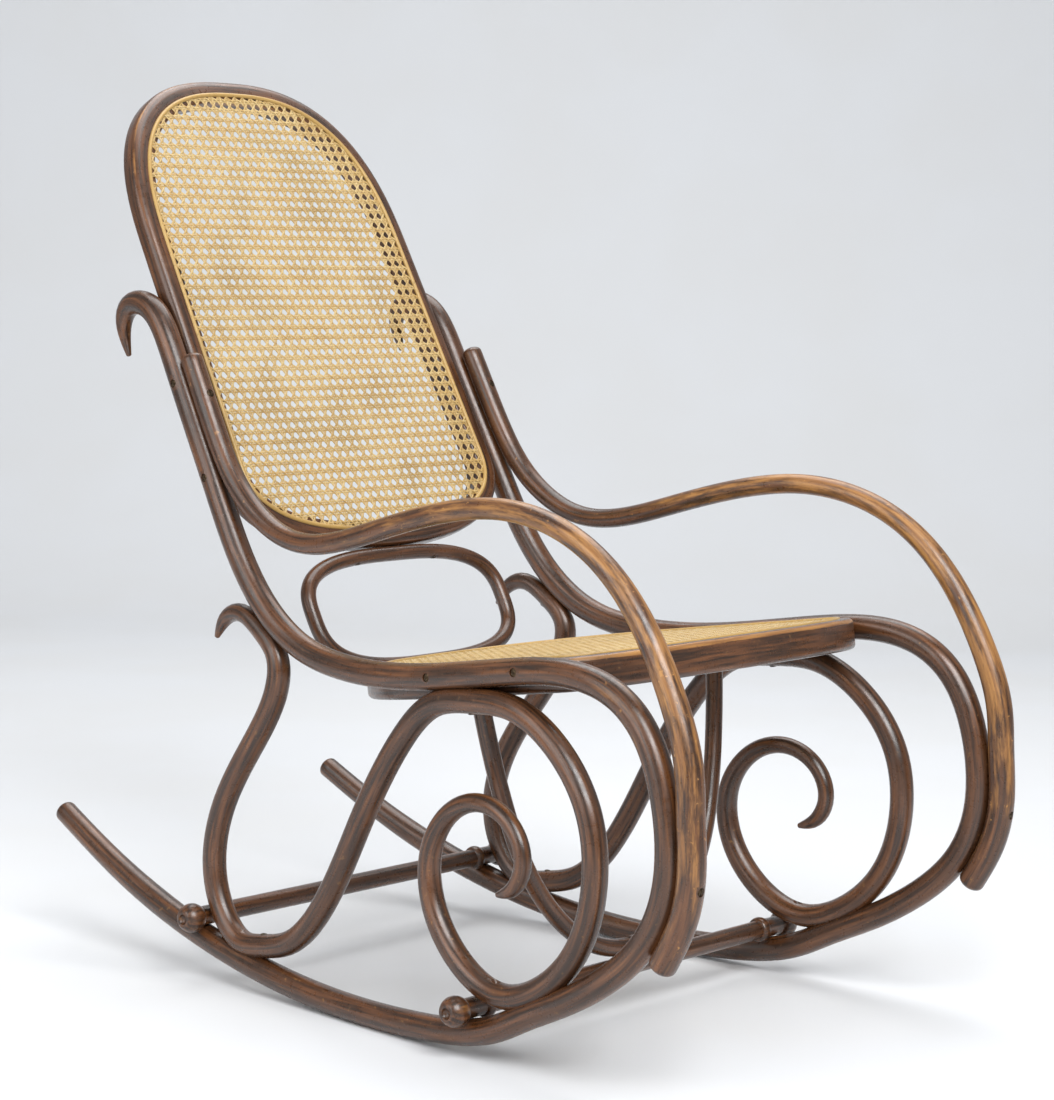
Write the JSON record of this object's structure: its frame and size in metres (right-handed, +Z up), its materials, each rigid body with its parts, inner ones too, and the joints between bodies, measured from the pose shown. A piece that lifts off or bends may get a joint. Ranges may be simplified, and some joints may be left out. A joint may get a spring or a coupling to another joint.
{
  "type": "rocking chair",
  "caption": "Bentwood rocking chair: steam-bent round-rod side frames with scrolls and rockers, a tall woven-cane back and a woven-cane seat on turned stretchers.",
  "frame": {"origin": "on the floor, in the middle of the chair's outline", "axes": "+Z up, the sitter faces -Y, +X is to the sitter's left; the mirror plane is X = 0"},
  "size_m": [0.5808, 0.9671, 0.9814],
  "materials": {
    "frame_wood": "dark red-brown stain under worn semi-gloss varnish",
    "arm_wood": "dark stain worn through to honey brown on the tops",
    "cane": "natural glossy cane strands",
    "reed": "natural round reed, satin",
    "screws": "dulled steel"
  },
  "bodies": {
    "root": {"side_rail_left": "frame_wood", "side_rail_right": "frame_wood", "armrest_left": "arm_wood", "armrest_right": "arm_wood", "scroll_left": "frame_wood", "scroll_right": "frame_wood", "back_frame": "frame_wood", "back_cane": "cane", "back_spline": "reed", "lumbar_ring": "frame_wood", "seat_frame": "frame_wood", "seat_cane": "cane", "seat_spline": "reed", "seat_brace": "frame_wood", "front_stretcher": "frame_wood", "rear_stretcher": "frame_wood", "arm_screws": "screws", "scroll_screws": "screws", "back_frame_screws": "screws", "lumbar_ring_screws": "screws", "seat_frame_screws": "screws", "stretcher_screws": "screws", "brace_screws": "screws"}
  },
  "joints": []
}
